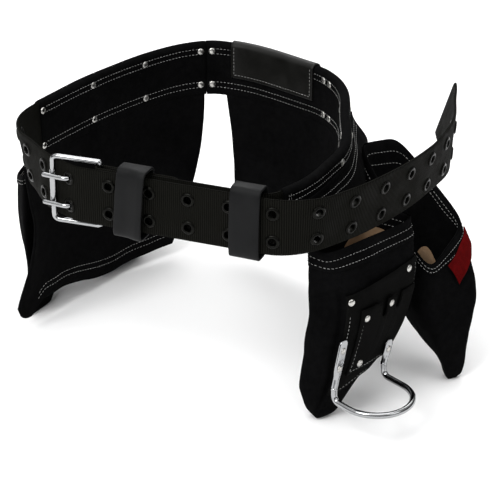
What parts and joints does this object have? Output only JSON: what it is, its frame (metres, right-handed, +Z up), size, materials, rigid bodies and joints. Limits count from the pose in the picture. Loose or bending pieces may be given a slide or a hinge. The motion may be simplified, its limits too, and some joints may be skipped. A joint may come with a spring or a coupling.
{
  "type": "tool belt",
  "caption": "Carpenter's tool belt: grommeted web strap with a double-prong buckle and two keepers, suede sleeves, hanging bags, a tool patch and a steel hammer loop.",
  "frame": {"origin": "on the ground under the middle of the belt's overall box", "axes": "+Z up, -Y towards the buckle side, +X towards the hammer loop and the free end of the strap"},
  "size_m": [0.4175, 0.4163, 0.2269],
  "materials": {
    "webbing": "ribbed matt weave",
    "eyelet_black": "satin black",
    "chrome": "polished",
    "nickel": "bright nickel",
    "smooth_leather": "smooth semi-matt",
    "suede": "matt suede",
    "red_leather": "matt"
  },
  "bodies": {
    "belt": {"web_loop": "webbing", "web_front": "webbing", "web_tail": "webbing", "upper_eyelets": "eyelet_black", "lower_eyelets": "eyelet_black", "buckle_frame": "chrome", "buckle_chape": "webbing", "chape_rivets": "nickel", "left_sleeve": "suede", "right_sleeve": "suede", "left_sleeve_rivets": "nickel", "right_sleeve_rivets": "nickel", "back_patch": "smooth_leather", "left_panel": "suede", "right_panel": "suede", "left_main_bag": "suede", "left_small_bag": "suede", "right_main_bag": "suede", "right_second_bag": "suede", "tool_patch": "suede", "slotted_holder": "suede", "patch_rivets": "nickel", "hammer_loop": "chrome", "hammer_loop_rivets": "nickel", "side_tab": "red_leather"},
    "front_roller": {"front_roller": "chrome"},
    "prong_upper": {"prong_upper": "chrome"},
    "prong_lower": {"prong_lower": "chrome"},
    "keeper_by_buckle": {"keeper_by_buckle": "smooth_leather"},
    "keeper_by_sleeve": {"keeper_by_sleeve": "smooth_leather"}
  },
  "joints": [
    {"name": "keeper_by_buckle_slide", "type": "slide", "parent": "belt", "child": "keeper_by_buckle", "axis": [0.9272, -0.3746, 0], "range_m": [-0.012, 0.038]},
    {"name": "keeper_by_sleeve_slide", "type": "slide", "parent": "belt", "child": "keeper_by_sleeve", "axis": [0.9272, -0.3746, 0], "range_m": [-0.038, 0.002]},
    {"name": "prong_upper_hinge", "type": "hinge", "parent": "belt", "child": "prong_upper", "pos_m": [-0.1181, -0.1148, 0.2071], "axis": [0, 0, 1], "range_deg": [0, 2]},
    {"name": "prong_lower_hinge", "type": "hinge", "parent": "belt", "child": "prong_lower", "pos_m": [-0.1181, -0.1148, 0.1817], "axis": [0, 0, 1], "range_deg": [0, 2]},
    {"name": "front_roller_spin", "type": "hinge", "parent": "belt", "child": "front_roller", "pos_m": [-0.15939, -0.1005, 0.1944], "axis": [0, 0, 1], "continuous": true}
  ]
}
